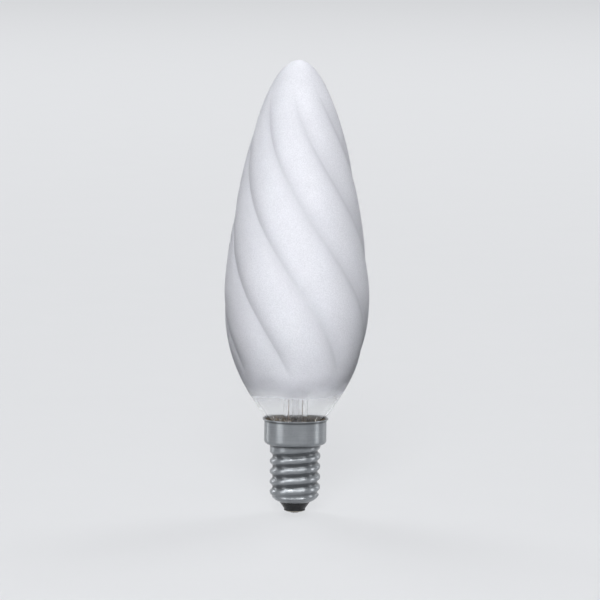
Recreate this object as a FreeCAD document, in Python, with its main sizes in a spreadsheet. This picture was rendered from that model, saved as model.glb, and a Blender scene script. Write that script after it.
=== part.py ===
# Candle lamp with a twisted glass bulb and a small screw cap, in millimetres.
# It stands upright in its own frame: +Z runs up the axis from the cap to the tip, and the
# origin is the middle of the foot contact. The two leads lie in the XZ plane, and -Y is the front.

import FreeCAD, Part
import math
import os
import re
import Sketcher
from FreeCAD import Placement, Rotation, Vector

SIZES = {
    # Screw cap: foot contact, insulator, thin metal shell with a skirt and a rolled thread
    "solder_flat_r": 1.0,       # flat worn on the solder, which meets the lampholder
    "solder_r": 1.6,
    "solder_rise": 0.45,        # how far the solder stands below the contact plate
    "lead_end_z": 0.25,         # end of the lead in the solder
    "plate_r": 2.4,
    "plate_edge": 0.15,         # rounding of the contact plate's edge
    "plate_z": 0.95,            # upper face of the contact plate, in the insulator
    "plate_seat": 0.25,         # depth of the plate in the insulator
    "eyelet_r": 0.6,            # hole in the plate and the insulator for the lead
    "foot_r": 2.9,              # insulator at its foot
    "foot_edge": 0.5,           # height of the foot's upright edge, below the slope to the shell
    "rim_r": 4.2,               # hole in the foot of the shell
    "rim_z": 3.05,
    "insulator_top_z": 5.9,
    "metal": 0.3,               # thickness of the shell's sheet
    "crest_r": 6.9,             # thread, over its crests
    "root_r": 6.15,             # thread, at its roots
    "pitch": 2.822,
    "crest_land": 0.12,         # flat left along the crest between two turns of the groove
    "thread_top_z": 17.0,       # middle of the groove where it starts to run out, at +X
    "thread_turns": 4.75,
    "hollow_turns": 3.1,        # of the hollow behind the crest, on the inside
    "hollow_start_turns": 1.5,  # from the start of the groove to the start of that hollow
    "run_out_turns": 0.3,
    "seam_turn": 45.0,          # degrees from +X to the seam of the shell's wall, clear of the grooves' ends
    "foot_slope": 22.0,         # degrees by which the shell's foot rises from its rim
    "foot_round": 3.3,          # from there round to the crests
    "shoulder_z": 18.9,         # underside of the skirt
    "neck_round": 0.4,          # hollow corner between the threaded neck and the skirt
    "shoulder_round": 1.1,      # round corner of the skirt's foot
    "skirt_r": 8.5,
    "lip_z": 25.95,             # top of the turned out lip
    "lip_r": 8.95,
    "lip_round": 0.25,          # inside of the bend in the lip
    # Glass bulb: neck, belly, tip, wall and flutes
    "seal_z": 20.6,             # foot of the glass neck, where the stem is sealed to it
    "neck_top_z": 25.0,
    "neck_r": 7.15,
    "belly_z": 60.0,
    "belly_r": 19.75,
    "tip_z": 123.5,
    "base_power": 2.35,         # how squarely the belly turns down to the neck
    "crown_power": 1.3,         # how straight the belly runs up to the tip
    "glass_wall": 0.8,
    "glass_sections": 20,       # sections that the twisted bulb is lofted through
    "section_ease": 0.08,       # how far they draw together towards both ends
    "tip_cap": 3.0,             # height of the rounded end above the last section
    "tip_steps": 4,             # points along that end's curve
    "flutes": 7,
    "flute_depth": 0.62,        # from a ridge to the crease beside it
    "flute_full_r": 13.2,       # the bulb's radius below which the flutes get shallower
    "flute_foot_z": 36.5,       # the creases fade in above this height
    "flute_foot_fade": 9.0,     # length of the fade there
    "flute_head_fade": 13.0,    # and of the one under the tip
    "twist_rate": 2.3,          # degrees for each millimetre at the steepest place
    "twist_z": 85.0,            # height of that place
    "twist_ease": 0.0004,       # how the rate eases off above and below it
    "crease_angle": -30.8,      # where one crease crosses the belly, from +X
    # Stem: flare, tube, press, exhaust tube, glass rod
    "stem_wall": 0.8,
    "stem_r": 3.3,
    "stem_top_z": 32.0,         # where the tube starts to narrow to the press
    "flare_rim": 1.2,           # height of the rim that is sealed to the neck
    "flare_height": 5.6,        # from the foot of the rim to the straight tube
    "press_z": 35.5,
    "press_top_z": 41.0,
    "press_wide": 3.8,          # half width across the leads
    "press_thick": 1.5,         # half thickness
    "exhaust_r": 1.2,
    "exhaust_bore_r": 0.7,
    "exhaust_foot_z": 12.5,     # where it is melted shut
    "exhaust_head_z": 33.5,
    "vent_r": 0.5,              # hole from the bulb to the exhaust tube
    "vent_land": 0.15,          # height left above and below it
    "rod_r": 0.9,
    "rod_seat": 2.5,            # depth of the rod's foot in the press
    "rod_top_z": 57.0,          # middle of the button on the rod's end
    "button_r": 1.7,
    # Wires and filament
    "lead_x": 1.9,              # each lead from the axis
    "seal_wire_r": 0.2,
    "seal_foot_z": 32.5,
    "seal_head_z": 39.5,
    "outer_lead_r": 0.15,
    "inner_lead_r": 0.3,
    "lead_bend_z": 46.0,
    "lead_bend": 6.0,           # radius of the bends in the inner leads
    "lead_splay_z": 56.0,       # where they turn upright again
    "outer_bend": 1.2,          # radius of the bends in the centre lead
    "outer_drop": 1.0,          # its bends lie this far under the exhaust tube and over the insulator
    "side_bend": 0.4,           # radius of the bends in the side lead
    "side_slant": 2.2,          # where it slants outwards under the stem, across and down
    "lead_gap": 0.35,           # from the side lead's middle to the glass that it passes
    "filament_x": 7.0,          # each end of the filament from the axis
    "filament_z": 64.0,         # height of its ends
    "filament_r": 0.4,          # the coil, over its turns
    "support_r": 0.12,
    "support_angle": 45.0,      # of each outer support's place on the filament's half ring
    "support_foot": 1.0,        # from the button's middle to where each support starts
    # Basing cement and the solder on the lip
    "cement_foot_z": 21.5,
    "cement_top_z": 25.95,
    "cement_slope": 0.3,        # how far the cement is lower at the skirt than at the glass
    "side_solder_r": 0.4,
    "side_solder_rise": 0.5,
}

PLANES = {"XY": "XY_Plane", "XZ": "XZ_Plane", "YZ": "YZ_Plane"}

doc = FreeCAD.newDocument("candle_lamp")
sheet = doc.addObject("Spreadsheet::Sheet", "sizes")
for row, (alias, number) in enumerate(SIZES.items(), start=1):
    sheet.set(f"A{row}", alias)
    sheet.set(f"B{row}", str(number))
    sheet.setAlias(f"B{row}", alias)
doc.recompute()


def cells(text):
    """The same expression with each size's name pointing at its cell."""
    return re.sub(r"[a-z]\w*", lambda word: "sizes." + word[0] if word[0] in SIZES else word[0], str(text))


def value(text):
    """The number that an expression in the sheet's names comes to."""
    return float(sheet.evalExpression(str(text)))


def new_body(name):
    body = doc.addObject("PartDesign::Body", name)
    body.Label = name
    return body


def new_sketch(body, name, plane, offset="0", turn=0.0):
    """A sketch on one of the body's own planes, moved along the plane's normal and turned about it."""
    sketch = body.newObject("Sketcher::SketchObject", name)
    support = [item for item in body.Origin.OriginFeatures if item.Role == PLANES[plane]][0]
    sketch.AttachmentSupport = [(support, "")]
    sketch.MapMode = "FlatFace"
    sketch.AttachmentOffset = Placement(Vector(0, 0, value(offset)), Rotation(Vector(0, 0, 1), turn))
    if offset != "0":
        sketch.setExpression("AttachmentOffset.Base.z", cells(offset))
    return sketch


def arc(start, middle, end):
    """An arc through three points, always drawn anticlockwise, as a sketch keeps it."""
    clockwise = (middle - start).cross(end - middle).z < 0
    return Part.Arc(end, middle, start) if clockwise else Part.Arc(start, middle, end)


def arc_through(start, end, radius):
    """A short arc from start to end. A positive radius bulges to the right of the way it runs."""
    chord = end - start
    middle = (start + end) * 0.5
    half = chord.Length / 2
    side = Vector(chord.y, -chord.x, 0).normalize()
    bulge = abs(radius) - math.sqrt(max(radius * radius - half * half, 0.0))
    return arc(start, middle + side * math.copysign(bulge, radius), end)


def outline(body, name, corners, plane="XZ"):
    """A closed outline beside the axis. A corner is (across, up) or (across, up, radius of the
    arc to the next corner), each in the sheet's names, and is pinned there by its own constraints."""
    sketch = new_sketch(body, name, plane)
    points = [Vector(value(corner[0]), value(corner[1]), 0) for corner in corners]
    for index, corner in enumerate(corners):
        start = points[index]
        end = points[(index + 1) % len(points)]
        if len(corner) == 3:
            sketch.addGeometry(arc_through(start, end, value(corner[2])), False)
        else:
            sketch.addGeometry(Part.LineSegment(start, end), False)
    for index, corner in enumerate(corners):
        here = points[index]
        first = edge_end(sketch, index, here)
        before = (index - 1) % len(corners)
        tail = edge_end(sketch, before, here)
        sketch.addConstraint(Sketcher.Constraint("Coincident", before, tail, index, first))
        pin(sketch, "DistanceX", -2, index, first, here.x, corner[0])
        pin(sketch, "DistanceY", -1, index, first, here.y, corner[1])
        if len(corner) == 3:
            bind(sketch, Sketcher.Constraint("Radius", index, abs(value(corner[2]))), f"abs({corner[2]})")
    return sketch


def edge_end(sketch, index, point):
    """Which end of an edge lies at a point: 1 is its start and 2 its end."""
    edge = sketch.Geometry[index]
    return 1 if (edge.StartPoint - point).Length < (edge.EndPoint - point).Length else 2


def pin(sketch, kind, axis, index, end, number, text):
    """Holds an edge's end at a distance from the origin, or on the axis where that is none."""
    if abs(number) < 1e-9:
        sketch.addConstraint(Sketcher.Constraint("PointOnObject", index, end, axis))
    else:
        bind(sketch, Sketcher.Constraint(kind, -1, 1, index, end, number), text)


def bind(sketch, constraint, text):
    place = sketch.addConstraint(constraint)
    sketch.setExpression(f"Constraints[{place}]", cells(text))


def revolve(body, name, corners, cut=False):
    """The outline turned once about the axis, added to the body or cut from it."""
    sketch = outline(body, name + "_outline", corners)
    feature = body.newObject("PartDesign::Groove" if cut else "PartDesign::Revolution", name)
    feature.Profile = sketch
    feature.ReferenceAxis = (sketch, ["V_Axis"])
    feature.Angle = 360
    return feature


# Thread of the cap: two tangent arcs of one radius, one hollow and one round, to each turn

def thread_section(body, name, middle_z, outside, turn=0.0):
    """The hollow between two turns of the thread, as a section in a plane through the axis. Outside
    the shell it is the groove, and inside it is the hollow behind a crest, one metal thickness away."""
    sketch = new_sketch(body, name, "XZ")
    sketch.AttachmentOffset = Placement(Vector(0, middle_z, 0), Rotation(Vector(0, 1, 0), turn))
    half = value("pitch - crest_land") / 2
    depth = value("crest_r - root_r")
    rolled = (depth * depth + half * half) / (4 * depth)
    out = 1 if outside else -1
    deep = value("root_r" if outside else "crest_r") + out * rolled
    high = value("crest_r" if outside else "root_r") - out * rolled
    deep_arc = rolled if outside else rolled - value("metal")
    high_arc = rolled if outside else rolled + value("metal")
    centre = Vector(deep, 0, 0)
    bottom = centre - Vector(out * deep_arc, 0, 0)
    edges = []
    joints = []
    corners = []
    for side in (-1, 1):
        crest = Vector(high, side * half, 0)
        top = crest + Vector(out * high_arc, 0, 0)
        joint = crest + (centre - crest).normalize() * high_arc
        middle = crest + ((top + joint) * 0.5 - crest).normalize() * high_arc
        corner = top + Vector(out * value("metal"), 0, 0)
        edges += [arc(top, middle, joint), Part.LineSegment(top, corner)]
        joints.append(joint)
        corners.append(corner)
    edges += [arc(joints[0], bottom, joints[1]), Part.LineSegment(corners[0], corners[1])]
    sketch.addGeometry(edges, False)
    return sketch


def thread_cut(body, name, middle_z, turns, outside, turn=0.0, spread=0.0):
    """A right-hand groove cut along the thread's helix, from a height on the side at +X, turned about
    the axis. It widens by the spread as it rises, where it runs out."""
    sketch = thread_section(body, name + "_section", middle_z, outside, turn)
    cut = body.newObject("PartDesign::SubtractiveHelix", name)
    cut.Profile = sketch
    cut.ReferenceAxis = (sketch, ["V_Axis"])
    cut.Mode = 1
    cut.setExpression("Pitch", cells("pitch"))
    cut.Pitch = value("pitch")
    cut.Turns = turns
    cut.Angle = math.degrees(math.atan(spread / value("pitch")))
    cut.HasBeenEdited = True
    return cut


# Foot of the cap's shell: a slope up from the rim, then a wide round corner up to the crests

FOOT_MIDDLE_R = "(crest_r - foot_round)"
FOOT_MIDDLE_Z = f"(rim_z + ({FOOT_MIDDLE_R} + foot_round * sin(foot_slope) - rim_r) * tan(foot_slope)" \
                " + foot_round * cos(foot_slope))"
INNER_FOOT_Z = f"{FOOT_MIDDLE_Z} - sqrt((foot_round - metal) ^ 2 - (root_r - metal - {FOOT_MIDDLE_R}) ^ 2)"


def foot_corner(radius):
    """Where the slope meets the round corner of that radius."""
    return (f"{FOOT_MIDDLE_R} + ({radius}) * sin(foot_slope)", f"{FOOT_MIDDLE_Z} - ({radius}) * cos(foot_slope)")


def cap_shell():
    body = new_body("cap_shell")
    wall = revolve(body, "shell_wall", [
        ("rim_r", "rim_z"),
        (*foot_corner("foot_round"), "foot_round"),
        ("crest_r", FOOT_MIDDLE_Z),
        ("crest_r", "shoulder_z - neck_round", "-neck_round"),
        ("crest_r + neck_round", "shoulder_z"),
        ("skirt_r - shoulder_round", "shoulder_z", "shoulder_round"),
        ("skirt_r", "shoulder_z + shoulder_round"),
        ("skirt_r", "lip_z - metal - lip_round", "-lip_round"),
        ("skirt_r + lip_round", "lip_z - metal"),
        ("lip_r", "lip_z - metal"),
        ("lip_r", "lip_z"),
        ("skirt_r + lip_round", "lip_z", "metal + lip_round"),
        ("skirt_r - metal", "lip_z - metal - lip_round"),
        ("skirt_r - metal", "shoulder_z + shoulder_round", "metal - shoulder_round"),
        ("skirt_r - shoulder_round", "shoulder_z + metal"),
        ("crest_r + neck_round", "shoulder_z + metal", "metal + neck_round"),
        ("crest_r - metal", "shoulder_z - neck_round"),
        ("root_r - metal", "thread_top_z"),
        ("root_r - metal", INNER_FOOT_Z, "metal - foot_round"),
        foot_corner("foot_round - metal"),
        ("rim_r", "rim_z + metal / cos(foot_slope)"),
    ])
    wall.Profile[0].AttachmentOffset = Placement(Vector(0, 0, 0), Rotation(Vector(0, 1, 0), value("seam_turn")))
    turns = value("thread_turns")
    run_out = value("run_out_turns")
    start_turn = -360 * (turns - math.floor(turns))
    top_z = value("thread_top_z")
    start_z = top_z - turns * value("pitch")
    thread_cut(body, "thread_groove", start_z, turns, True, start_turn)
    thread_cut(body, "groove_run_out", top_z, run_out, True, 0.0, value("crest_r - root_r") / run_out)
    hollow_z = start_z + value("pitch * hollow_start_turns")
    thread_cut(body, "crest_hollow", hollow_z, value("hollow_turns"), False, start_turn)
    return body


def cap_insulator():
    body = new_body("cap_insulator")
    revolve(body, "insulator_wall", [
        ("eyelet_r", "plate_z"),
        ("plate_r", "plate_z"),
        ("plate_r", "plate_z - plate_seat"),
        ("foot_r", "plate_z - plate_seat"),
        ("foot_r", "plate_z - plate_seat + foot_edge"),
        ("rim_r", "rim_z"),
        ("rim_r", "rim_z + metal / cos(foot_slope)"),
        (*foot_corner("foot_round - metal"), "foot_round - metal"),
        ("root_r - metal", INNER_FOOT_Z),
        ("root_r - metal", "insulator_top_z"),
        ("eyelet_r", "insulator_top_z"),
    ])
    return body


def contact_plate():
    body = new_body("contact_plate")
    revolve(body, "plate_wall", [
        ("eyelet_r", "solder_rise"),
        ("plate_r - plate_edge", "solder_rise", "plate_edge"),
        ("plate_r", "solder_rise + plate_edge"),
        ("plate_r", "plate_z"),
        ("eyelet_r", "plate_z"),
    ])
    return body


def centre_solder():
    """Solder that fills the eyelet round the lead's end and stands below the plate."""
    body = new_body("centre_solder")
    revolve(body, "solder_drop", [
        ("0", "0"),
        ("solder_flat_r", "0"),
        ("solder_r", "solder_rise"),
        ("eyelet_r", "solder_rise"),
        ("eyelet_r", "plate_z"),
        ("outer_lead_r", "plate_z"),
        ("outer_lead_r", "lead_end_z"),
        ("0", "lead_end_z"),
    ])
    return body


# Glass bulb: fluted sections in which each flute is one arc, lofted up the twisted axis

def flute_share(height):
    """How much of the flutes' full depth there is at a height, from 0 to 1. They fade in above the
    neck, and out again up to the foot of the plain rounded tip."""
    foot = (height - value("flute_foot_z")) / value("flute_foot_fade")
    head = (value("tip_z - tip_cap - glass_wall") - height) / value("flute_head_fade")
    part = max(0.0, min(1.0, foot, head))
    return part * part * (3 - 2 * part)


def bulb_radius(height, inset):
    """The bulb's radius over its ridges, or that of its inner wall where the inset is the wall."""
    neck = value("neck_r") - inset
    belly = value("belly_r") - inset
    if height < value("belly_z"):
        drop = (value("belly_z") - height) / value("belly_z - neck_top_z")
        return neck + (belly - neck) * (1 - drop ** value("base_power"))
    climb = (height - value("belly_z")) / (value("tip_z - belly_z") - inset)
    return belly * math.sqrt(max(0.0, 1 - climb ** value("crown_power")))


def twist(height):
    """The angle from +X of the first crease at a height. The creases are left-hand helices."""
    def turned(at):
        away = at - value("twist_z")
        return value("twist_rate") * away - value("twist_ease") * away ** 3 / 3
    return value("crease_angle") - turned(height) + turned(value("belly_z"))


def flute_section(body, name, height, inset):
    """One closed section across the bulb, an arc to each flute, with its corners at the creases."""
    flutes = int(value("flutes"))
    sketch = new_sketch(body, name, "XY", str(height), twist(height))
    ridge = bulb_radius(height, inset)
    crease = ridge - value("flute_depth") * flute_share(height) * min(1.0, ridge / value("flute_full_r"))
    half = math.pi / flutes
    for index in range(flutes):
        middle = (2 * index + 1) * half
        points = [polar(crease, middle - half), polar(ridge, middle), polar(crease, middle + half)]
        sketch.addGeometry(arc(*points), False)
    for index in range(flutes):
        sketch.addConstraint(Sketcher.Constraint("Coincident", index, 2, (index + 1) % flutes, 1))
    return sketch


def polar(radius, angle):
    return Vector(radius * math.cos(angle), radius * math.sin(angle), 0)


def section_heights(inset):
    """Heights of the sections from the neck to just under the tip, closer together towards both ends."""
    count = int(value("glass_sections"))
    low = value("neck_top_z")
    high = value("tip_z") - inset - value("tip_cap")
    ease = value("section_ease")
    shares = [step / count for step in range(count + 1)]
    return [low + (high - low) * (share - ease * math.sin(2 * math.pi * share)) for share in shares]


def glass_skin(body, name, inset, cut):
    """The bulb's outer form, or its hollow, as a loft with a round cap at the tip and a straight neck."""
    heights = section_heights(inset)
    sections = [flute_section(body, f"{name}_section_{index}", height, inset)
                for index, height in enumerate(heights)]
    loft = body.newObject("PartDesign::SubtractiveLoft" if cut else "PartDesign::AdditiveLoft", name)
    loft.Profile = sections[0]
    loft.Sections = sections[1:]
    loft.Ruled = False
    loft.Closed = False
    tip_cap(body, name, heights[-1], inset, cut)
    neck = bulb_radius(heights[0], inset)
    foot = new_sketch(body, name + "_neck_circle", "XY", "neck_top_z")
    foot.addGeometry(Part.Circle(Vector(0, 0, 0), Vector(0, 0, 1), neck), False)
    bind(foot, Sketcher.Constraint("Radius", 0, neck), "neck_r - glass_wall" if cut else "neck_r")
    foot.addConstraint(Sketcher.Constraint("Coincident", 0, 3, -1, 1))
    straight = body.newObject("PartDesign::Pocket" if cut else "PartDesign::Pad", name + "_neck")
    straight.Profile = foot
    straight.Reversed = not cut
    straight.Length = value("neck_top_z - seal_z")
    straight.setExpression("Length", cells("neck_top_z - seal_z"))


def tip_cap(body, name, height, inset, cut):
    """The rounded end above the last section, turned from a curve with the bulb's own outline."""
    top = value("tip_z") - inset
    steps = int(value("tip_steps"))
    curve = []
    for step in range(steps + 1):
        level = height + (top - height) * math.sin(math.pi / 2 * step / steps)
        curve.append(Vector(bulb_radius(level, inset), level, 0))
    outline_curve = Part.BSplineCurve()
    slope = (curve[1] - curve[0]).normalize()
    outline_curve.interpolate(Points=curve, InitialTangent=slope, FinalTangent=Vector(-1, 0, 0))
    sketch = new_sketch(body, name + "_tip_outline", "XZ")
    middle = Vector(0, height, 0)
    sketch.addGeometry([outline_curve, Part.LineSegment(curve[-1], middle),
                        Part.LineSegment(middle, curve[0])], False)
    cap = body.newObject("PartDesign::Groove" if cut else "PartDesign::Revolution", name + "_tip")
    cap.Profile = sketch
    cap.ReferenceAxis = (sketch, ["V_Axis"])
    cap.Angle = 360


def glass_envelope():
    body = new_body("glass_envelope")
    glass_skin(body, "outer_skin", 0.0, False)
    glass_skin(body, "inner_skin", value("glass_wall"), True)
    return body


# Wires: a round section run along a path of straight runs joined by tangent arcs

def bent_path(sketch, corners, bend):
    """Straight runs through the corners, each corner rounded with the bend's radius."""
    edges = []
    joints = [corners[0]]
    for index in range(1, len(corners) - 1):
        corner = corners[index]
        back = (corners[index - 1] - corner).normalize()
        ahead = (corners[index + 1] - corner).normalize()
        half = back.getAngle(ahead) / 2
        reach = bend / math.tan(half)
        towards = (back + ahead).normalize()
        middle = corner + towards * (bend / math.sin(half) - bend)
        start = joints[-1]
        joints += [corner + back * reach, corner + ahead * reach]
        edges += [Part.LineSegment(start, joints[-2]), arc(joints[-2], middle, joints[-1])]
    edges.append(Part.LineSegment(joints[-1], corners[-1]))
    sketch.addGeometry(edges, False)
    for index, joint in enumerate(joints[1:]):
        tail = edge_end(sketch, index, joint)
        front = edge_end(sketch, index + 1, joint)
        sketch.addConstraint(Sketcher.Constraint("Coincident", index, tail, index + 1, front))


def wire(name, radius, corners, bend=0.0, plane="XZ", offset="0"):
    """A wire in one plane. Its corners are (across, up) and its first run is vertical."""
    body = new_body(name)
    path = new_sketch(body, name + "_path", plane, offset)
    places = [Vector(across, up, 0) for across, up in corners]
    bent_path(path, places, bend)
    ring = new_sketch(body, name + "_section", "XY", str(corners[0][1]))
    across = corners[0][0] if plane == "XZ" else value(offset)
    along = 0.0 if plane == "XZ" else corners[0][0]
    ring.addGeometry(Part.Circle(Vector(across, along, 0), Vector(0, 0, 1), value(radius)), False)
    bind(ring, Sketcher.Constraint("Radius", 0, value(radius)), radius)
    pipe = body.newObject("PartDesign::AdditivePipe", name + "_run")
    pipe.Profile = ring
    pipe.Spine = path
    return body


def seal_wires():
    made = []
    for name, side in (("seal_wire_left", -1), ("seal_wire_right", 1)):
        across = side * value("lead_x")
        run = [(across, value("seal_foot_z")), (across, value("seal_head_z"))]
        made.append(wire(name, "seal_wire_r", run))
    return made


def inner_leads():
    made = []
    for name, side in (("inner_lead_left", -1), ("inner_lead_right", 1)):
        near = side * value("lead_x")
        far = side * value("filament_x")
        run = [(near, value("seal_head_z")), (near, value("lead_bend_z")),
               (far, value("lead_splay_z")), (far, value("filament_z"))]
        made.append(wire(name, "inner_lead_r", run, value("lead_bend")))
    return made


def centre_lead():
    """From the left seal wire down the stem, past the exhaust tube and into the contact's solder."""
    left = -value("lead_x")
    run = [(left, value("seal_foot_z")), (left, value("exhaust_foot_z - outer_drop")),
           (0.0, value("insulator_top_z + outer_drop")), (0.0, value("lead_end_z"))]
    return wire("centre_lead", "outer_lead_r", run, value("outer_bend"))


def side_lead():
    """From the right seal wire down the stem, under the neck's sealed foot and up between the
    glass and the skirt to the top of the lip, at the back."""
    def back(radius):
        return math.sqrt(radius * radius - value("lead_x") ** 2)
    channel = value("neck_r + skirt_r - metal") / 2
    low = value("seal_z") - value("lead_gap")
    bend_z = value("neck_top_z")
    top = value("lip_z + outer_lead_r")
    rise = bulb_radius(top, 0.0) + value("lead_gap")
    slant = value("side_slant")
    run = [(0.0, value("seal_foot_z")), (0.0, low + slant), (slant, low), (back(channel), low),
           (back(channel), bend_z), (back(rise), top), (back(value("lip_r - outer_lead_r")), top)]
    return wire("side_lead", "outer_lead_r", run, value("side_bend"), "YZ", "lead_x")


def filament():
    """The coil over its turns, hung in a half ring from the top of one lead to the other's."""
    body = new_body("filament")
    across = value("filament_x")
    low = value("filament_z")
    path = new_sketch(body, "filament_path", "XZ")
    path.addGeometry(arc(Vector(-across, low, 0), Vector(0, low + across, 0), Vector(across, low, 0)), False)
    ring = new_sketch(body, "filament_section", "XY", "filament_z")
    ring.addGeometry(Part.Circle(Vector(across, 0, 0), Vector(0, 0, 1), value("filament_r")), False)
    bind(ring, Sketcher.Constraint("Radius", 0, value("filament_r")), "filament_r")
    pipe = body.newObject("PartDesign::AdditivePipe", "filament_run")
    pipe.Profile = ring
    pipe.Spine = path
    return body


def support_wires():
    """A wire from the button to each quarter of the filament, with a ring that the coil runs through."""
    hub = Vector(0, 0, value("rod_top_z"))
    ring_r = value("filament_r + support_r")
    supports = []
    for number, angle in enumerate((180 - value("support_angle"), 90, value("support_angle")), start=1):
        outward = Vector(math.cos(math.radians(angle)), 0, math.sin(math.radians(angle)))
        middle = Vector(0, 0, value("filament_z")) + outward * value("filament_x")
        ring = doc.addObject("Part::Torus", f"support_ring_{number}")
        ring.setExpression("Radius1", cells("filament_r + support_r"))
        ring.setExpression("Radius2", cells("support_r"))
        ring.Placement = Placement(middle, Rotation(Vector(0, 0, 1), Vector(-outward.z, 0, outward.x)))
        foot_way = (middle - outward * ring_r - hub).normalize()
        foot = hub + foot_way * value("support_foot")
        stalk = doc.addObject("Part::Cylinder", f"support_stalk_{number}")
        stalk.setExpression("Radius", cells("support_r"))
        stalk.Height = (middle - outward * ring_r - foot).Length
        stalk.Placement = Placement(foot, Rotation(Vector(0, 0, 1), foot_way))
        joined = doc.addObject("Part::Fuse", f"support_wire_{number}")
        joined.Base = stalk
        joined.Tool = ring
        joined.Label = f"support_wire_{number}"
        supports.append(joined)
    return supports


# Stem, exhaust tube and glass rod

def cut_away(name, base, tools):
    """The base with the space of the tools taken out of it, so that they seat in it."""
    fused = tools[0]
    if len(tools) > 1:
        fused = doc.addObject("Part::MultiFuse", name + "_seats")
        fused.Shapes = tools
    cut = doc.addObject("Part::Cut", name)
    cut.Base = base
    cut.Tool = fused
    cut.Label = name
    return cut


def ellipse_sketch(body, name, height, wide, thick):
    sketch = new_sketch(body, name, "XY", height)
    middle = Vector(0, 0, 0)
    if wide == thick:
        sketch.addGeometry(Part.Circle(middle, Vector(0, 0, 1), value(wide)), False)
    else:
        sketch.addGeometry(Part.Ellipse(Vector(value(wide), 0, 0), Vector(0, value(thick), 0), middle), False)
    return sketch


def bore(body, name, height, radius, depth):
    """A round hole up the axis from a height."""
    sketch = new_sketch(body, name + "_circle", "XY", height)
    sketch.addGeometry(Part.Circle(Vector(0, 0, 0), Vector(0, 0, 1), value(radius)), False)
    bind(sketch, Sketcher.Constraint("Radius", 0, value(radius)), radius)
    sketch.addConstraint(Sketcher.Constraint("Coincident", 0, 3, -1, 1))
    pocket = body.newObject("PartDesign::Pocket", name)
    pocket.Profile = sketch
    pocket.Reversed = True
    pocket.Length = value(depth)
    pocket.setExpression("Length", cells(depth))


def stem_glass():
    """Flare, tube and press: the flare is turned, and the tube's end is pinched flat round the wires."""
    body = new_body("stem_glass")
    trumpet = "((neck_r - glass_wall - stem_r) ^ 2 + (flare_height - flare_rim) ^ 2)" \
              " / (2 * (neck_r - glass_wall - stem_r))"
    revolve(body, "flare", [
        ("neck_r - glass_wall", "seal_z"),
        ("neck_r - glass_wall", "seal_z + flare_rim", "-" + trumpet),
        ("stem_r", "seal_z + flare_height"),
        ("stem_r", "stem_top_z"),
        ("stem_r - stem_wall", "stem_top_z"),
        ("stem_r - stem_wall", "seal_z + flare_height", trumpet),
        ("neck_r - glass_wall - stem_wall", "seal_z + flare_rim"),
        ("neck_r - glass_wall - stem_wall", "seal_z"),
    ])
    pinch = body.newObject("PartDesign::AdditiveLoft", "pinch")
    pinch.Profile = ellipse_sketch(body, "tube_end", "stem_top_z", "stem_r", "stem_r")
    pinch.Sections = [ellipse_sketch(body, "press_foot", "press_z", "press_wide", "press_thick")]
    press = body.newObject("PartDesign::Pad", "press")
    press.Profile = ellipse_sketch(body, "press_section", "press_z", "press_wide", "press_thick")
    press.Length = value("press_top_z - press_z")
    press.setExpression("Length", cells("press_top_z - press_z"))
    bore(body, "exhaust_seat", "stem_top_z", "exhaust_r", "exhaust_head_z - stem_top_z")
    bore(body, "exhaust_hollow", "exhaust_head_z", "exhaust_bore_r", "2 * (vent_r + vent_land)")
    vent_sketch = new_sketch(body, "vent_circle", "XZ")
    vent_middle = Vector(0, value("exhaust_head_z + vent_land + vent_r"), 0)
    vent_sketch.addGeometry(Part.Circle(vent_middle, Vector(0, 0, 1), value("vent_r")), False)
    vent = body.newObject("PartDesign::Pocket", "vent")
    vent.Profile = vent_sketch
    vent.Length = value("stem_r")
    return body


def exhaust_tube():
    body = new_body("exhaust_tube")
    revolve(body, "exhaust_wall", [
        ("0", "exhaust_foot_z", "exhaust_r"),
        ("exhaust_r", "exhaust_foot_z + exhaust_r"),
        ("exhaust_r", "exhaust_head_z"),
        ("exhaust_bore_r", "exhaust_head_z"),
        ("exhaust_bore_r", "exhaust_foot_z + exhaust_r", "-exhaust_bore_r"),
        ("0", "exhaust_foot_z + exhaust_r - exhaust_bore_r"),
    ])
    return body


def rod_glass():
    body = new_body("rod_glass")
    revolve(body, "rod_and_button", [
        ("0", "press_top_z - rod_seat"),
        ("rod_r", "press_top_z - rod_seat"),
        ("rod_r", "rod_top_z - sqrt(button_r ^ 2 - rod_r ^ 2)", "button_r"),
        ("button_r", "rod_top_z", "button_r"),
        ("0", "rod_top_z + button_r"),
    ])
    return body


# Basing cement and the side lead's solder

def cement_blank():
    body = new_body("cement_blank")
    glass_r = "neck_r + (belly_r - neck_r) * (1 - ((belly_z - cement_top_z)" \
              " / (belly_z - neck_top_z)) ^ base_power)"
    revolve(body, "cement_fill", [
        ("neck_r - glass_wall / 2", "cement_foot_z"),
        ("skirt_r - metal", "cement_foot_z"),
        ("skirt_r - metal", "cement_top_z - cement_slope"),
        (glass_r + " - glass_wall / 2", "cement_top_z"),
        ("neck_r - glass_wall / 2", "neck_top_z"),
    ])
    return body


def solder_dome():
    """A drop of solder on the lip, over the side lead's end."""
    dome = doc.addObject("Part::Ellipsoid", "solder_dome")
    dome.Radius1 = value("side_solder_rise")
    dome.Radius2 = value("side_solder_r")
    dome.Radius3 = value("side_solder_r")
    dome.Angle1 = 0
    dome.Angle2 = 90
    out = value("lip_r - side_solder_r")
    side = value("lead_x")
    dome.Placement = Placement(Vector(side, math.sqrt(out * out - side * side), value("lip_z")), Rotation())
    return dome


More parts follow.
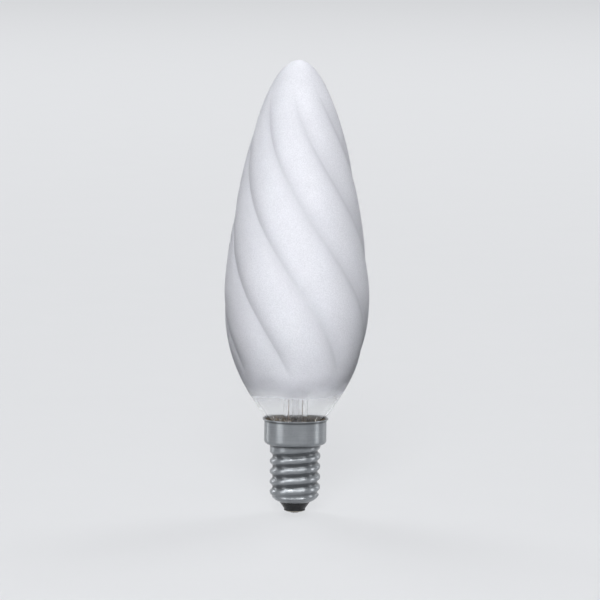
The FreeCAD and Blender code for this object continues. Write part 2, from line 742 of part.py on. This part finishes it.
def build_lamp():
    """Every piece of the lamp, each cut away where another seats in it."""
    glass = glass_envelope()
    seals = seal_wires()
    inner = inner_leads()
    centre = centre_lead()
    side = side_lead()
    supports = support_wires()
    rod = cut_away("support_rod", rod_glass(), supports)
    stem = cut_away("stem", stem_glass(), [*seals, *inner, centre, side, rod])
    cement = cut_away("cement_ring", cement_blank(), [glass, side])
    solder = cut_away("side_solder", solder_dome(), [glass, side])
    return [glass, stem, exhaust_tube(), rod, *seals, *inner, centre, side, filament(), *supports,
            cap_shell(), cap_insulator(), contact_plate(), centre_solder(), solder, cement]


def write_parts(pieces):
    """Checks every object, then writes each piece to a file of its own name."""
    doc.recompute()
    for item in doc.Objects:
        if "Invalid" in item.State or "Error" in item.State:
            raise RuntimeError(f"{item.Label} failed: {item.State}")
    for piece in pieces:
        if piece.Shape.isNull() or not piece.Shape.isValid() or not piece.Shape.Solids:
            raise RuntimeError(f"{piece.Label} has no sound solid")
    os.makedirs("parts", exist_ok=True)
    for piece in pieces:
        piece.Shape.exportStep(f"parts/{piece.Label}.step")
        box = piece.Shape.optimalBoundingBox()
        print(f"{piece.Label}: {piece.Shape.Volume:.3f} mm3, {len(piece.Shape.Solids)} solid,"
              f" z {box.ZMin:.2f} to {box.ZMax:.2f}")


write_parts(build_lamp())
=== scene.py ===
# Candle lamp with a twisted satin bulb, a clear neck and a small screw cap, dressed for a picture.
# Everything is in metres in the lamp's own frame: +Z up the axis, the origin at the foot contact.

import math

import bmesh
import bpy
from mathutils import Matrix, Vector


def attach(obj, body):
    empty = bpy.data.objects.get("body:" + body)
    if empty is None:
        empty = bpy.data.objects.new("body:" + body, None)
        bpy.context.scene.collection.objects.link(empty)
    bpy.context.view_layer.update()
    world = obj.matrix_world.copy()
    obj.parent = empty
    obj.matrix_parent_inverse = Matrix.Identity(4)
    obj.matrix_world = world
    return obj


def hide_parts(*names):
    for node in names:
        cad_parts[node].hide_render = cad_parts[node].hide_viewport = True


MM = 0.001

# The bulb's form, as the lamp is built

SEAL_Z = 20.6 * MM            # foot of the glass neck
NECK_TOP_Z = 25.0 * MM
NECK_R = 7.15 * MM
BELLY_Z = 60.0 * MM
BELLY_R = 19.75 * MM
TIP_Z = 123.5 * MM
BASE_POWER = 2.35             # how soon the bulb swells out above its neck
CROWN_POWER = 1.3             # how full its crown is
GLASS_WALL = 0.8 * MM
FLUTES = 7
FLUTE_DEPTH = 0.62 * MM
FLUTE_FULL_R = 13.2 * MM      # where the bulb is slimmer than this, its flutes are shallower
FLUTE_FOOT_Z = 36.5 * MM
FLUTE_HEAD_Z = 119.7 * MM
FLUTE_FOOT_FADE = 9.0 * MM
FLUTE_HEAD_FADE = 13.0 * MM
TWIST_RATE = 2.3 / MM         # degrees for each metre of height
TWIST_EASE = 0.0004 / MM ** 3  # how the twist slackens away from the height where it is quickest
TWIST_Z = 85.0 * MM
CREASE_ANGLE = -30.8          # degrees round from +X to a crease, at the belly
CREASE_ROUND = 0.012          # half width of the rounded valley, in radians round the axis
FLUTE_ROLL = 3.0              # how late across a flute its skin rolls in to the crease
COLUMNS_PER_FLUTE = 28
COLUMN_PINCH = 1.6            # draws the columns together towards the creases
OUTER_RINGS = 150
INNER_RINGS = 110
ON_AXIS = 1e-6                # an edge as near as this to the axis lies on it
WELD = 1e-7                   # points as near as this to each other are one

# Satin finish of the glass

FROST_FOOT_Z = 29.5 * MM      # it fades in from here, above a thin haze,
FROST_TOP_Z = 40.0 * MM       # and is full from here
FROST_HAZE = 0.03
CREASE_SHADE = 0.6            # how much painted shade darkens the glass's colour, down in a crease

# Cap: where painted shade darkens its metal, in the thread's grooves, the corner under the shoulder
# and the bend under the lip

THREAD_ROOT_R = 6.15 * MM
THREAD_CREST_R = 6.9 * MM
FOOT_Z = 4.8 * MM
SHOULDER_Z = 18.9 * MM
LIP_Z = 25.95 * MM
LIP_R = 8.95 * MM
GROOVE_SHADE = 0.35 * MM       # over this much out from the thread's root the painted shade thins out
FOOT_SHADE_FADE = 1.5 * MM        # and over this much above the foot it fades in
CORNER_FULL = 0.2 * MM        # from the corner under the shoulder, it is full up to here
CORNER_GONE = 0.9 * MM        # and gone from here
BEND_LOW = 0.95 * MM          # below the lip, none down here
BEND_HIGH = 0.6 * MM          # and full up here
BEND_OUT = 0.05 * MM          # in from the lip's edge, none out here
BEND_IN = 0.25 * MM           # and full in here

# Filament: a close coil along a half ring

FILAMENT_X = 7.0 * MM
FILAMENT_Z = 64.0 * MM
COIL_R = 0.4 * MM
COIL_WIRE_R = 0.09 * MM
COIL_TURNS = 66
STEPS_PER_TURN = 10

# Picture: the long lens and the bulb's place in the square frame

LENS = 265.0
CAMERA_DISTANCE = 1.2
CAMERA_ELEVATION = 5.8
CAMERA_ROLL = 0.55            # degrees, because the real bulb leans a little in its cap
AIM = Vector((0.93 * MM, 0.0, 58.3 * MM))
PALE = (0.72, 0.73, 0.75)     # the room, as the camera, metal and glass see it
FLOOR_GREY = (0.13, 0.132, 0.135)   # the floor under the lamps, where it takes the shadow
FLOOR_GLOW = 0.84             # of the room's paleness that the floor shows without any lamp
FLOOR_R = 8.0
WORLD_LIGHT = 0.035

# Soft boxes, all turned to the bulb: name, degrees round from the front with the right at 90, height,
# distance, width, tallness, watts, and the spread of the light in degrees

FILL_BOXES = (
    ("front_key", -2.0, 0.62, 1.25, 0.3, 0.3, 3.6, 80.0),
    ("back_fill_left", -150.0, 3.0, 3.0, 1.6, 1.4, 94.0, 180.0),
    ("back_fill_right", 145.0, 3.0, 3.0, 1.6, 1.4, 86.0, 180.0),
)
SHINE_BOXES = (
    ("overhead", -12.0, 1.0, 0.35, 1.6, 0.4, 14.0, 180.0),
    ("front_band", -4.0, 0.66, 1.25, 2.4, 0.2, 4.5, 180.0),
    ("high_left", -42.0, 1.0, 0.5, 0.14, 0.3, 1.6, 180.0),
    ("left_panel", -60.0, 0.15, 0.8, 0.32, 0.6, 1.8, 180.0),
    ("right_strip", 88.0, 0.15, 0.8, 0.2, 0.6, 1.5, 180.0),
    ("back_left_strip", -123.0, 0.15, 0.8, 0.05, 0.6, 1.3, 180.0),
    ("back_right_strip", 130.0, 0.15, 0.8, 0.08, 0.6, 0.5, 180.0),
)

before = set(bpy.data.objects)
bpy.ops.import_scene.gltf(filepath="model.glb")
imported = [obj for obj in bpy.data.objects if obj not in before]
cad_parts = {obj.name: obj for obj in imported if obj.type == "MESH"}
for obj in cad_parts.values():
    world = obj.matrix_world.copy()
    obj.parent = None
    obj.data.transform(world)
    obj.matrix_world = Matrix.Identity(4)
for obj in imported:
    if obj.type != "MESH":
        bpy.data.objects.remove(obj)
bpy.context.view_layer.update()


# Node trees

class Finish:
    """A new material with its node tree, and short ways to add and join nodes."""

    def __init__(self, name):
        self.material = bpy.data.materials.new(name)
        self.material.use_nodes = True
        self.nodes = self.material.node_tree.nodes
        self.links = self.material.node_tree.links
        self.shader = self.nodes["Principled BSDF"]
        self.output = self.nodes["Material Output"]
        coordinates = self.nodes.new("ShaderNodeTexCoord")
        self.place = coordinates.outputs["Object"]

    def set(self, **values):
        for name, number in values.items():
            self.shader.inputs[name.replace("_", " ")].default_value = number

    def join(self, source, target):
        self.links.new(source, target)

    def stretched(self, scale):
        """Object coordinates stretched along each axis, for grain that runs one way."""
        mapping = self.nodes.new("ShaderNodeMapping")
        mapping.inputs["Scale"].default_value = scale
        self.join(self.place, mapping.inputs["Vector"])
        return mapping.outputs["Vector"]

    def noise(self, size, detail, roughness, place=None):
        """Noise whose blobs are about that size in metres."""
        node = self.nodes.new("ShaderNodeTexNoise")
        node.inputs["Scale"].default_value = 1.0 / size
        node.inputs["Detail"].default_value = detail
        node.inputs["Roughness"].default_value = roughness
        self.join(place or self.place, node.inputs["Vector"])
        return node.outputs["Fac"]

    def spread(self, value, low, high, to_low=0.0, to_high=1.0, smooth=False):
        """A value carried from one range to another, held at both ends."""
        node = self.nodes.new("ShaderNodeMapRange")
        node.interpolation_type = "SMOOTHSTEP" if smooth else "LINEAR"
        ends = {"From Min": low, "From Max": high, "To Min": to_low, "To Max": to_high}
        for name, number in ends.items():
            node.inputs[name].default_value = number
        self.join(value, node.inputs["Value"])
        return node.outputs["Result"]

    def colours(self, value, *stops):
        """A colour ramp: each stop is (place, colour)."""
        node = self.nodes.new("ShaderNodeValToRGB")
        ramp = node.color_ramp
        while len(ramp.elements) < len(stops):
            ramp.elements.new(0.5)
        for element, (place, colour) in zip(ramp.elements, stops):
            element.position = place
            element.color = (*colour, 1.0)
        self.join(value, node.inputs["Fac"])
        return node.outputs["Color"]

    def maths(self, operation, first, second):
        node = self.nodes.new("ShaderNodeMath")
        node.operation = operation
        for socket, term in zip(node.inputs, (first, second)):
            if isinstance(term, (int, float)):
                socket.default_value = term
            else:
                self.join(term, socket)
        return node.outputs["Value"]

    def mixture(self, first, share, second):
        """Two patterns added up, with that share of the first one."""
        return self.maths("ADD", self.maths("MULTIPLY", first, share),
                          self.maths("MULTIPLY", second, 1 - share))

    def height(self):
        node = self.nodes.new("ShaderNodeSeparateXYZ")
        self.join(self.place, node.inputs["Vector"])
        return node.outputs["Z"]

    def reach(self):
        """Distance from the lamp's axis."""
        flat = self.nodes.new("ShaderNodeVectorMath")
        flat.operation = "MULTIPLY"
        flat.inputs[1].default_value = (1.0, 1.0, 0.0)
        self.join(self.place, flat.inputs[0])
        length = self.nodes.new("ShaderNodeVectorMath")
        length.operation = "LENGTH"
        self.join(flat.outputs["Vector"], length.inputs[0])
        return length.outputs["Value"]

    def own(self, name):
        """A value that the mesh carries at its points."""
        node = self.nodes.new("ShaderNodeAttribute")
        node.attribute_name = name
        return node.outputs["Fac"]

    def blended(self, share, first, second):
        """One colour that gives way to a plain second one, by a share from 0 to 1."""
        node = self.nodes.new("ShaderNodeMix")
        node.data_type = "RGBA"    # which keeps its two colours at 6 and 7, and the result at 2
        self.join(share, node.inputs[0])
        self.join(first, node.inputs[6])
        node.inputs[7].default_value = (*second, 1.0)
        return node.outputs[2]

    def bump(self, value, depth, strength):
        """Fine relief of that depth in metres."""
        node = self.nodes.new("ShaderNodeBump")
        node.inputs["Strength"].default_value = strength
        node.inputs["Distance"].default_value = depth
        self.join(value, node.inputs["Height"])
        return node.outputs["Normal"]

    def use(self, name, socket):
        self.join(socket, self.shader.inputs[name])

    def mixed(self, share, first, second):
        """Two shaders as one, with that share of the second."""
        node = self.nodes.new("ShaderNodeMixShader")
        if isinstance(share, (int, float)):
            node.inputs["Fac"].default_value = share
        else:
            self.join(share, node.inputs["Fac"])
        self.join(first, node.inputs[1])
        self.join(second, node.inputs[2])
        return node.outputs["Shader"]


def lamp_rays(finish):
    """1 for the rays that look for lamps, so that light comes straight through clear glass."""
    node = finish.nodes.new("ShaderNodeLightPath")
    return node.outputs["Is Shadow Ray"]


def lets_light_through(finish, shader):
    """The shader, with lamplight passing it as through air."""
    open_way = finish.nodes.new("ShaderNodeBsdfTransparent")
    open_way.inputs["Color"].default_value = (0.94, 0.95, 0.96, 1.0)
    return finish.mixed(lamp_rays(finish), shader, open_way.outputs["BSDF"])


def satin_bulb_glass():
    """Satin white glass, clear in the neck, with a soft edge between the two, and painted shade down
    in the creases.
    """
    finish = Finish("satin_bulb_glass")
    grain = finish.noise(0.32 * MM, 1.0, 0.5)
    cloud = finish.noise(9.0 * MM, 3.0, 0.5)
    tone = finish.mixture(grain, 0.7, cloud)
    plain = finish.colours(tone, (0.3, (0.76, 0.77, 0.825)), (0.7, (0.90, 0.91, 0.97)))
    # painted shade: the glass colour darkens towards each crease, by how far the skin is pressed in
    # there
    shade = finish.maths("MULTIPLY", finish.own("press"), CREASE_SHADE)
    white = finish.blended(shade, plain, (0.60, 0.61, 0.66))
    relief = finish.bump(grain, 0.015 * MM, 0.3)
    finish.set(Roughness=0.5, Specular_IOR_Level=0.08)
    finish.use("Base Color", white)
    finish.use("Normal", relief)
    through = finish.nodes.new("ShaderNodeBsdfTranslucent")
    finish.join(white, through.inputs["Color"])
    satin = finish.mixed(0.08, finish.shader.outputs["BSDF"], through.outputs["BSDF"])
    clear = finish.nodes.new("ShaderNodeBsdfPrincipled")
    clear.inputs["Base Color"].default_value = (0.995, 1.0, 1.0, 1.0)
    clear.inputs["Transmission Weight"].default_value = 1.0
    clear.inputs["Roughness"].default_value = 0.03
    clear.inputs["IOR"].default_value = 1.5
    uneven = finish.spread(cloud, 0.3, 0.7, -0.6 * MM, 0.6 * MM)
    edge = finish.maths("ADD", finish.height(), uneven)
    haze = finish.spread(edge, SEAL_Z, FROST_FOOT_Z, 0.0, FROST_HAZE)
    fade = finish.spread(edge, FROST_FOOT_Z, FROST_TOP_Z, FROST_HAZE, 1.0, smooth=True)
    frost = finish.maths("MAXIMUM", haze, fade)
    bulb = finish.mixed(frost, lets_light_through(finish, clear.outputs["BSDF"]), satin)
    finish.join(bulb, finish.output.inputs["Surface"])
    return finish.material


def clear_glass():
    """The stem, the exhaust tube and the rod: clear soft glass with a faint grey tint."""
    finish = Finish("clear_stem_glass")
    finish.set(Base_Color=(0.98, 0.98, 0.985, 1.0), Transmission_Weight=1.0, IOR=1.52)
    streaks = finish.noise(0.6 * MM, 2.0, 0.5, finish.stretched((1.0, 1.0, 0.12)))
    finish.use("Roughness", finish.spread(streaks, 0.3, 0.8, 0.0, 0.06))
    finish.use("Normal", finish.bump(streaks, 0.05 * MM, 0.4))
    surface = lets_light_through(finish, finish.shader.outputs["BSDF"])
    finish.join(surface, finish.output.inputs["Surface"])
    return finish.material


def cap_metal():
    """Drawn and rolled sheet: satin grey, with painted shade darkening it in the thread's grooves, the
    corner under the shoulder and the bend under the lip. Its shine stretches up and down, because the
    sheet's fine lines run round the axis."""
    finish = Finish("cap_satin_metal")
    drawn = finish.noise(1.6 * MM, 4.0, 0.6, finish.stretched((0.12, 0.12, 9.0)))
    smudge = finish.noise(3.5 * MM, 4.0, 0.6)
    tone = finish.mixture(drawn, 0.4, smudge)
    grey = finish.colours(tone, (0.3, (0.22, 0.233, 0.246)), (0.7, (0.31, 0.324, 0.338)))
    reach = finish.reach()
    height = finish.height()
    # painted shade: masks for the thread's roots above the foot, the corner under the shoulder and the
    # bend under the lip
    in_root = finish.spread(reach, THREAD_ROOT_R + GROOVE_SHADE, THREAD_ROOT_R)
    over_foot = finish.spread(height, FOOT_Z, FOOT_Z + FOOT_SHADE_FADE)
    groove = finish.maths("MULTIPLY", in_root, over_foot)
    under_shoulder = finish.spread(height, SHOULDER_Z - CORNER_GONE, SHOULDER_Z - CORNER_FULL)
    by_neck = finish.spread(reach, THREAD_CREST_R + CORNER_GONE, THREAD_CREST_R + CORNER_FULL)
    corner = finish.maths("MULTIPLY", under_shoulder, by_neck)
    under_lip = finish.spread(height, LIP_Z - BEND_LOW, LIP_Z - BEND_HIGH)
    in_bend = finish.spread(reach, LIP_R - BEND_OUT, LIP_R - BEND_IN)
    bend = finish.maths("MULTIPLY", under_lip, in_bend)
    painted_shade = finish.maths("MAXIMUM", finish.maths("MAXIMUM", groove, corner), bend)
    finish.set(Metallic=1.0, Anisotropic=0.8)
    # painted shade: the metal's colour goes to this dark grey in the roots, the corner and the bend
    finish.use("Base Color", finish.blended(painted_shade, grey, (0.085, 0.09, 0.095)))
    finish.use("Roughness", finish.spread(tone, 0.3, 0.7, 0.37, 0.31))
    finish.use("Normal", finish.bump(drawn, 0.01 * MM, 0.12))
    upright = finish.nodes.new("ShaderNodeCombineXYZ")
    upright.inputs["Z"].default_value = 1.0
    finish.use("Tangent", upright.outputs["Vector"])
    return finish.material


def black_glass():
    """Poured black glass: dark, glossy in places and a little uneven."""
    finish = Finish("black_insulator_glass")
    ripple = finish.noise(1.2 * MM, 3.0, 0.5)
    black = finish.colours(ripple, (0.3, (0.008, 0.009, 0.010)), (0.75, (0.022, 0.023, 0.025)))
    finish.use("Base Color", black)
    finish.use("Roughness", finish.spread(ripple, 0.3, 0.7, 0.22, 0.42))
    finish.use("Normal", finish.bump(ripple, 0.08 * MM, 0.5))
    finish.set(Specular_IOR_Level=0.3)
    return finish.material


def brass_plate():
    """The contact plate: stamped brass, duller and darker in stained patches."""
    finish = Finish("stamped_brass")
    stain = finish.noise(0.9 * MM, 4.0, 0.6)
    finish.set(Metallic=1.0)
    yellow = finish.colours(stain, (0.3, (0.30, 0.26, 0.20)), (0.7, (0.46, 0.41, 0.32)))
    finish.use("Base Color", yellow)
    finish.use("Roughness", finish.spread(stain, 0.3, 0.7, 0.42, 0.26))
    finish.use("Normal", finish.bump(stain, 0.02 * MM, 0.3))
    return finish.material


def solder_metal():
    """Solder that ran and froze: grey, with a dull skin and small dimples."""
    finish = Finish("frozen_solder")
    skin = finish.noise(0.5 * MM, 4.0, 0.65)
    finish.set(Metallic=1.0)
    grey = finish.colours(skin, (0.3, (0.34, 0.34, 0.35)), (0.7, (0.62, 0.62, 0.63)))
    finish.use("Base Color", grey)
    finish.use("Roughness", finish.spread(skin, 0.3, 0.7, 0.46, 0.24))
    finish.use("Normal", finish.bump(skin, 0.06 * MM, 0.5))
    return finish.material


def wire_metal(name, dark, light, rough):
    """Drawn wire with a thin oxide that comes and goes along it."""
    finish = Finish(name)
    oxide = finish.noise(0.8 * MM, 3.0, 0.6, finish.stretched((1.0, 1.0, 0.4)))
    finish.set(Metallic=1.0)
    finish.use("Base Color", finish.colours(oxide, (0.3, dark), (0.7, light)))
    finish.use("Roughness", finish.spread(oxide, 0.3, 0.7, rough + 0.12, rough))
    return finish.material


def basing_cement():
    """Baked cement: amber brown with dark burnt specks and pale crumbs."""
    finish = Finish("baked_cement")
    lumps = finish.noise(0.9 * MM, 5.0, 0.7)
    crumbs = finish.noise(0.35 * MM, 3.0, 0.7)
    tone = finish.mixture(lumps, 0.6, crumbs)
    brown = finish.colours(tone, (0.40, (0.012, 0.009, 0.006)), (0.52, (0.075, 0.052, 0.026)),
                           (0.64, (0.28, 0.21, 0.12)))
    finish.set(Roughness=0.85)
    finish.use("Base Color", brown)
    finish.use("Normal", finish.bump(crumbs, 0.15 * MM, 0.8))
    return finish.material


# Pieces

def add_piece(name, mesh_work, material, replaced):
    """Makes an object at the origin from a finished bmesh, in the place of a carried-over piece."""
    mesh = bpy.data.meshes.new(name)
    mesh_work.to_mesh(mesh)
    mesh_work.free()
    for face in mesh.polygons:
        face.use_smooth = True
    mesh.materials.append(material)
    piece = bpy.data.objects.new(name, mesh)
    bpy.context.scene.collection.objects.link(piece)
    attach(piece, "root")
    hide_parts(replaced)


def bulb_radius(height, inset):
    """Radius over the ridges at a height, of the outer skin or of one that lies inset from it."""
    neck = NECK_R - inset
    belly = BELLY_R - inset
    if height < NECK_TOP_Z:
        return neck
    if height < BELLY_Z:
        drop = (BELLY_Z - height) / (BELLY_Z - NECK_TOP_Z)
        return neck + (belly - neck) * (1 - drop ** BASE_POWER)
    climb = (height - BELLY_Z) / (TIP_Z - BELLY_Z - inset)
    return belly * math.sqrt(max(0.0, 1 - climb ** CROWN_POWER))


def flute_share(height):
    """How deep the flutes are at a height, from 0 past their ends to 1."""
    from_foot = (height - FLUTE_FOOT_Z) / FLUTE_FOOT_FADE
    from_head = (FLUTE_HEAD_Z - height) / FLUTE_HEAD_FADE
    part = max(0.0, min(1.0, from_foot, from_head))
    return part * part * (3 - 2 * part)


def turned(height):
    """How far the creases have wound round at a height, in radians."""
    away = height - TWIST_Z
    return math.radians(TWIST_RATE * away - TWIST_EASE * away ** 3 / 3)


def from_crease(angle):
    """How far round an angle is from the nearest crease, less than nothing on its one side."""
    half = math.pi / FLUTES
    return (angle + half) % (2 * half) - half


def pinched(angle):
    """The angle with its column drawn towards the nearest crease."""
    half = math.pi / FLUTES
    away = from_crease(angle)
    return angle - away + math.copysign(half * (abs(away) / half) ** COLUMN_PINCH, away)


def pressed_in(angle):
    """How far the skin is pressed in at an angle: 0 along a flute and nearly 1 in a rounded crease."""
    half = math.pi / FLUTES
    return (1 - min(1.0, math.hypot(from_crease(angle), CREASE_ROUND) / half)) ** FLUTE_ROLL


def profile_heights(low, high, count):
    """Heights from low to high, close together near the tip, where the skin turns over."""
    return [low + (high - low) * math.sin(math.pi / 2 * step / count) for step in range(count + 1)]


def lies_inside(radius, height):
    """Whether a point of the plain double skin is on its inner face."""
    return abs(radius - bulb_radius(height, GLASS_WALL)) < abs(radius - bulb_radius(height, 0.0))


def wind(point):
    """Moves a point of the plain skin to its place on the fluted and twisted one, and says how far
    it is pressed in there."""
    height = point.co.z
    radius = math.hypot(point.co.x, point.co.y)
    angle = pinched(math.atan2(point.co.y, point.co.x))
    ridge = bulb_radius(height, GLASS_WALL if lies_inside(radius, height) else 0.0)
    press = pressed_in(angle) * flute_share(height) * min(1.0, ridge / FLUTE_FULL_R)
    if press > 0.0:
        radius = ridge - FLUTE_DEPTH * press
    angle += math.radians(CREASE_ANGLE) - turned(height) + turned(BELLY_Z)
    point.co = (radius * math.cos(angle), radius * math.sin(angle), height)
    return press


def twisted_glass(material):
    """The blown bulb: a turned double skin, wound round its axis and pressed in at the creases."""
    work = bmesh.new()
    middle = (SEAL_Z + NECK_TOP_Z) / 2
    outer = [SEAL_Z, middle, *profile_heights(NECK_TOP_Z, TIP_Z, OUTER_RINGS)]
    inner = [SEAL_Z, middle, *profile_heights(NECK_TOP_Z, TIP_Z - GLASS_WALL, INNER_RINGS)]
    line = [(height, 0.0) for height in outer]
    line += [(height, GLASS_WALL) for height in reversed(inner)]
    points = [work.verts.new((bulb_radius(height, inset), 0.0, height)) for height, inset in line]
    edges = []
    for pair in zip(points, points[1:]):
        if pair[0].co.x + pair[1].co.x > ON_AXIS:
            edges.append(work.edges.new(pair))
    edges.append(work.edges.new((points[-1], points[0])))
    bmesh.ops.spin(work, geom=points + edges, cent=(0, 0, 0), axis=(0, 0, 1), angle=math.tau,
                   steps=FLUTES * COLUMNS_PER_FLUTE, use_merge=True)
    bmesh.ops.remove_doubles(work, verts=work.verts, dist=WELD)
    press = work.verts.layers.float.new("press")
    for point in work.verts:
        point[press] = wind(point)
    bmesh.ops.recalc_face_normals(work, faces=work.faces)
    add_piece("twisted_glass", work, material, "glass_envelope")


def filament_coil(material):
    """Fine wire wound in close turns, hung in a half ring between the leads."""
    curve = bpy.data.curves.new("filament_line", "CURVE")
    curve.dimensions = "3D"
    curve.bevel_depth = COIL_WIRE_R
    curve.bevel_resolution = 1
    curve.use_fill_caps = True
    line = curve.splines.new("POLY")
    steps = COIL_TURNS * STEPS_PER_TURN
    line.points.add(steps)
    for step, point in enumerate(line.points):
        along = math.pi * step / steps
        round_coil = math.tau * step / STEPS_PER_TURN
        out = Vector((math.cos(along), 0.0, math.sin(along)))
        reach = FILAMENT_X + (COIL_R - COIL_WIRE_R) * math.cos(round_coil)
        side = Vector((0.0, (COIL_R - COIL_WIRE_R) * math.sin(round_coil), FILAMENT_Z))
        point.co = (*(out * reach + side), 1.0)
    coil = bpy.data.objects.new("filament_line", curve)
    bpy.context.scene.collection.objects.link(coil)
    work = bmesh.new()
    work.from_mesh(bpy.data.meshes.new_from_object(coil))
    bpy.data.objects.remove(coil)
    bmesh.ops.remove_doubles(work, verts=work.verts, dist=WELD)
    add_piece("filament_coil", work, material, "filament")


def dress(names, material):
    """Gives carried-over pieces their finish."""
    for name in names:
        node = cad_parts[name]
        node.data.materials.clear()
        node.data.materials.append(material)


# Stage, lights and camera

def seen_rays(nodes, links):
    """1 for the rays by which the camera, metal and glass see the room, 0 for those that light it."""
    rays = nodes.new("ShaderNodeLightPath")
    total = rays.outputs["Is Camera Ray"]
    for name in ("Is Glossy Ray", "Is Transmission Ray"):
        either = nodes.new("ShaderNodeMath")
        either.operation = "MAXIMUM"
        links.new(total, either.inputs[0])
        links.new(rays.outputs[name], either.inputs[1])
        total = either.outputs["Value"]
    return total


def stage_material():
    """Pale and even where the camera, metal or glass sees it, and still shaded by the lamp."""
    finish = Finish("pale_floor")
    speck = finish.noise(30 * MM, 3.0, 0.5)
    paler = tuple(1.03 * part for part in FLOOR_GREY)
    finish.use("Base Color", finish.colours(speck, (0.3, FLOOR_GREY), (0.7, paler)))
    finish.set(Roughness=0.9, Specular_IOR_Level=0.0, Emission_Color=(*PALE, 1.0))
    glow = finish.maths("MULTIPLY", seen_rays(finish.nodes, finish.links), FLOOR_GLOW)
    finish.use("Emission Strength", glow)
    return finish.material


def floor():
    work = bmesh.new()
    bmesh.ops.create_circle(work, cap_ends=True, segments=96, radius=FLOOR_R)
    mesh = bpy.data.meshes.new("floor")
    work.to_mesh(mesh)
    work.free()
    mesh.materials.append(stage_material())
    disc = bpy.data.objects.new("floor", mesh)
    bpy.context.scene.collection.objects.link(disc)


def pale_world():
    """Even soft light from all round, which the camera, metal and glass see as a pale backdrop."""
    world = bpy.data.worlds.new("pale_room")
    world.use_nodes = True
    bpy.context.scene.world = world
    nodes = world.node_tree.nodes
    links = world.node_tree.links
    light = nodes["Background"]
    light.inputs["Color"].default_value = (0.93, 0.95, 1.0, 1.0)
    light.inputs["Strength"].default_value = WORLD_LIGHT
    backdrop = nodes.new("ShaderNodeBackground")
    backdrop.inputs["Color"].default_value = (*PALE, 1.0)
    choice = nodes.new("ShaderNodeMixShader")
    links.new(seen_rays(nodes, links), choice.inputs["Fac"])
    links.new(light.outputs["Background"], choice.inputs[1])
    links.new(backdrop.outputs["Background"], choice.inputs[2])
    links.new(choice.outputs["Shader"], nodes["World Output"].inputs["Surface"])


def soft_box(name, azimuth, height, distance, wide, tall, power, spread, fills):
    """A soft lamp that faces the bulb. It either fills in the satin and dull surfaces, or only shows
    as a shine in the metal and the clear glass."""
    light = bpy.data.lights.new(name, "AREA")
    light.shape = "RECTANGLE"
    light.size = wide
    light.size_y = tall
    light.energy = power
    light.spread = math.radians(spread)
    lamp = bpy.data.objects.new(name, light)
    turn = math.radians(azimuth)
    lamp.location = (distance * math.sin(turn), -distance * math.cos(turn), height)
    lamp.rotation_euler = (AIM - lamp.location).to_track_quat("-Z", "Y").to_euler()
    lamp.visible_camera = False
    lamp.visible_glossy = not fills
    lamp.visible_diffuse = fills
    bpy.context.scene.collection.objects.link(lamp)


def camera():
    data = bpy.data.cameras.new("camera")
    data.lens = LENS
    data.clip_start = 0.05
    data.clip_end = 50.0
    view = bpy.data.objects.new("camera", data)
    rise = math.radians(CAMERA_ELEVATION)
    view.location = AIM + CAMERA_DISTANCE * Vector((0.0, -math.cos(rise), math.sin(rise)))
    level = (AIM - view.location).to_track_quat("-Z", "Y").to_matrix()
    view.rotation_euler = (level @ Matrix.Rotation(math.radians(CAMERA_ROLL), 3, "Z")).to_euler()
    bpy.context.scene.collection.objects.link(view)
    bpy.context.scene.camera = view


copper = wire_metal("copper_clad_wire", (0.16, 0.11, 0.09), (0.40, 0.29, 0.23), 0.34)
nickel = wire_metal("nickel_wire", (0.20, 0.195, 0.19), (0.42, 0.41, 0.40), 0.30)
tungsten = wire_metal("tungsten_wire", (0.10, 0.10, 0.11), (0.24, 0.24, 0.25), 0.34)

twisted_glass(satin_bulb_glass())
filament_coil(tungsten)
dress(["stem", "exhaust_tube", "support_rod"], clear_glass())
dress(["seal_wire_left", "seal_wire_right", "centre_lead", "side_lead"], copper)
dress(["inner_lead_left", "inner_lead_right"], nickel)
dress(["support_wire_1", "support_wire_2", "support_wire_3"], tungsten)
dress(["cap_shell"], cap_metal())
dress(["cap_insulator"], black_glass())
dress(["contact_plate"], brass_plate())
dress(["centre_solder", "side_solder"], solder_metal())
dress(["cement_ring"], basing_cement())

floor()
pale_world()
for box in FILL_BOXES:
    soft_box(*box, fills=True)
for box in SHINE_BOXES:
    soft_box(*box, fills=False)
camera()
bpy.context.scene.view_settings.view_transform = "Standard"
